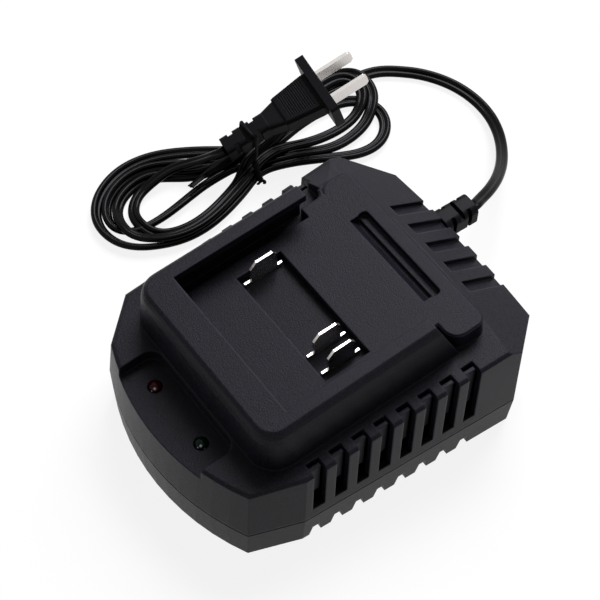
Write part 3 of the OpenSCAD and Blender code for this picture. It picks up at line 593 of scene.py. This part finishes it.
def straightening(line):
    """The moves that make each bend spread over its neighbours, as in a springy lead."""
    move = np.zeros_like(line)
    move[2:-2] = -line[4:] + 4 * line[3:-1] - 6 * line[2:-2] + 4 * line[1:-3] - line[:-4]
    return move


def settle(line, held_at_start):
    """Lays the lead down under its own weight: runs push each other apart and sink to what carries them.

    Heights are stretched meanwhile, so that one spacing serves for beside and above.
    """
    stretch = np.array([1, 1, BESIDE / ABOVE])
    line = line * stretch
    home = line.copy()
    index = np.arange(len(line))
    near = np.abs(np.subtract.outer(index, index)) < SAME_STRETCH
    free = np.ones((len(line), 1))
    free[:held_at_start] = 0
    free[-HELD_AT_PLUG:] = 0
    for _ in range(SETTLE_ROUNDS):
        move = push_apart(line, near)
        move[:, 2] -= SINK
        move[:, :2] += (home[:, :2] - line[:, :2]) * HOMING
        move += straightening(line) * STRAIGHTEN
        move[:, 2] += smoothing(line)[:, 2] * LEVEL
        line = line + move * free
        line[:, 2] = np.maximum(line[:, 2], LOWEST * stretch[2])
    for _ in range(SMOOTH_ROUNDS):
        line = line + smoothing(line) * SMOOTH * free
    return line / stretch


def lead_path():
    """The lead's centre line from the strain relief to the plug. The arc stays as given but for its end."""
    points = list(ARC)
    for folded in RUNS:
        points += folded
    points += PLUG_LEAD
    line = spline(points, SETTLE_STEP)
    arc_end = int(np.argmin(np.linalg.norm(line - np.array(ARC[-2]), axis=1)))
    return spline(settle(line, arc_end), LEAD_STEP)


def lead_twist(run):
    """How far the flat lead leans at each length along it, in radians. It is level across at both ends."""
    lean = 0.5
    sway = 0.35
    sway_length = 41.0
    level_length = 60
    start_ease = 60
    end_ease = 30
    start = np.clip((run - level_length) / start_ease, 0, 1)
    end = np.clip((run[-1] - run) / end_ease, 0, 1)
    return (lean + sway * np.sin(run / sway_length)) * start * end


def lobed_section(points_per_core=11):
    """Twin lead: two round cores side by side with a groove between them."""
    radius = CORD_T / 2
    centre = CORD_W / 2 - radius
    points = []
    for side in (1, -1):
        for i in range(points_per_core):
            a = math.radians(-CORE_ARC / 2 + CORE_ARC * i / (points_per_core - 1))
            points.append((side * (centre + radius * math.cos(a)), side * radius * math.sin(a)))
        points.append((0, side * radius * GROOVE))
    return points


path = lead_path()
run = lengths_along(path)
verts, faces = sweep(path, lobed_section(), lead_twist(run))
lead = add_mesh("mains_lead", verts, faces, "cord")
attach(lead, "root")
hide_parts("power_cord", "cord_hank")


# ---- status lights, in millimetres: smooth 5 mm domes in place of the faceted ones ----
DOME_R = 2.5
# height of the dome's straight wall
DOME_WALL = 1.2
FLANGE_R = 2.95
FLANGE_H = 1
# how much the corners of the profile are cut or filled
CORNER = 0.05
# where the middle of each flange's upper side lies
LED_X = 14.4
LED_Y = -59.25
LED_Z = 34.14
# slope of the deck, which falls towards the front and which the lights stand square to
DECK_SLOPE = math.radians(4.5)


def dome_profile():
    """(radius, height) points of a light, from the middle of its flange's underside to the dome's tip."""
    profile = [(0, -FLANGE_H), (FLANGE_R - CORNER, -FLANGE_H), (FLANGE_R, CORNER - FLANGE_H)]
    profile += [(FLANGE_R, -CORNER), (FLANGE_R - CORNER, 0)]
    profile += [(DOME_R + CORNER, 0), (DOME_R, CORNER), (DOME_R, DOME_WALL)]
    # from a little above the wall to a little before the tip
    for a in np.linspace(0.1, 1.5, 15):
        profile.append((DOME_R * math.cos(a), DOME_WALL + DOME_R * math.sin(a)))
    return profile + [(0, DOME_WALL + DOME_R)]


def on_deck(verts, place):
    """Points, in metres, sloped as the deck is and moved to a place in millimetres."""
    cos = math.cos(DECK_SLOPE)
    sin = math.sin(DECK_SLOPE)
    x0, y0, z0 = [c * MM for c in place]
    return [(x0 + x, y0 + y * cos - z * sin, z0 + y * sin + z * cos) for x, y, z in verts]


for node, x in (("led_red", -LED_X), ("led_green", LED_X)):
    verts, faces = turned(dome_profile())
    dome = add_mesh(node + "_dome", on_deck(verts, (x, LED_Y, LED_Z)), faces, node)
    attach(dome, "root")
    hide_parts(node)


# ---- wire tie, in millimetres: a loop, its twisted end and its flat tail ---------------
# width and thickness of the covered wire
TIE_W = 1.5
TIE_T = 1.0
# the loop round the plug's relief and the runs, as (x, z) points at this y
TIE_Y = 42.3
TIE_LOOP = [(-94.9, 9.4), (-94.4, 13), (-94.4, 17.5), (-94.4, 22), (-95.2, 24.9), (-97.5, 25.8),
            (-101, 25.7), (-104, 25.2), (-105.2, 23.4), (-105.6, 20), (-106.2, 15), (-108.2, 10.8),
            (-110.6, 7.4), (-111.3, 3.8), (-109.6, 1.1), (-105, 0.6), (-100, 0.6), (-95, 0.7), (-91.4, 1.5),
            (-90.6, 4.2), (-92, 7), (-94.6, 9.2)]
# how far the loop wanders to the front and back of that, and its angle from one point to the next
TIE_WANDER = 0.7
TIE_WANDER_STEP = 0.9
# the twisted end, from the loop down to the floor, with its turns and its radius
TWIST_FROM = np.array((-94.9, TIE_Y, 9.4))
TWIST_TO = np.array((-88.7, TIE_Y - 0.6, 2.2))
TWIST_TURNS = 3.2
TWIST_R = 0.62
# how far the two tips open, and the share of the length at which they start to
TWIST_OPENS = 1.0
TWIST_OPENS_FROM = 0.85
# the flat tail on the runs, the direction of its width, and how far it turns, in radians
TAIL = [(-103, 43, 10.2), (-103.1, 38, 9.4), (-102.9, 32, 8.4), (-102.3, 25, 7.6), (-101.3, 19, 7.4),
        (-100.2, 14.6, 7.6)]
TAIL_ACROSS = (1, 0.08, 0.1)
TAIL_TWIST = 0.25
# a quarter of the tail's outline, from its thin edge to the wire in its middle
TAIL_QUARTER = [(1.5, 0.12), (0.6, 0.15), (0.3, 0.42)]


def tie_wire(points, sides=12):
    """Covered wire, an oval a little wider than it is thick."""
    line = spline(points, 0.5)
    oval = []
    for i in range(sides):
        a = 2 * math.pi * i / sides
        oval.append((TIE_W / 2 * math.cos(a), TIE_T / 2 * math.sin(a)))
    return sweep(line, oval, np.zeros(len(line)), across=(0, 1, 0))


def tie_loop():
    """The wire round the plug's relief and the runs."""
    wander = [TIE_WANDER * math.sin(i * TIE_WANDER_STEP) for i in range(len(TIE_LOOP))]
    return tie_wire([(x, TIE_Y + off, z) for off, (x, z) in zip(wander, TIE_LOOP)])


def twisted_wire(start, count=34):
    """One of the two wires of the twisted end, which starts at an angle round its middle line."""
    line = TWIST_TO - TWIST_FROM
    ahead = line / np.linalg.norm(line)
    side_a = np.array((0, 1, 0)) - ahead * ahead[1]
    side_b = np.cross(ahead, side_a)
    points = []
    for k in range(count):
        share = k / (count - 1)
        a = start + share * 2 * math.pi * TWIST_TURNS
        radius = TWIST_R + TWIST_OPENS * max(0, share - TWIST_OPENS_FROM) / (1 - TWIST_OPENS_FROM)
        points.append(TWIST_FROM + line * share + (side_a * math.cos(a) + side_b * math.sin(a)) * radius)
    return tie_wire(points)


def tie_tail():
    """The flat end with its wire in the middle, which turns a little one way and the other."""
    back = TAIL_QUARTER[::-1]
    outline = [(-x, -y) for x, y in TAIL_QUARTER] + [(x, -y) for x, y in back]
    outline += TAIL_QUARTER + [(-x, y) for x, y in back]
    line = spline(TAIL, 1.0)
    phase = np.linspace(0, 5, len(line))
    return sweep(line, outline, TAIL_TWIST * np.sin(phase), across=TAIL_ACROSS)


verts, faces = joined([tie_loop(), twisted_wire(0), twisted_wire(math.pi), tie_tail()])
tie = add_mesh("wire_tie", verts, faces, "tie")
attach(tie, "root")
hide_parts("cord_tie")

scene.view_settings.view_transform = "Standard"
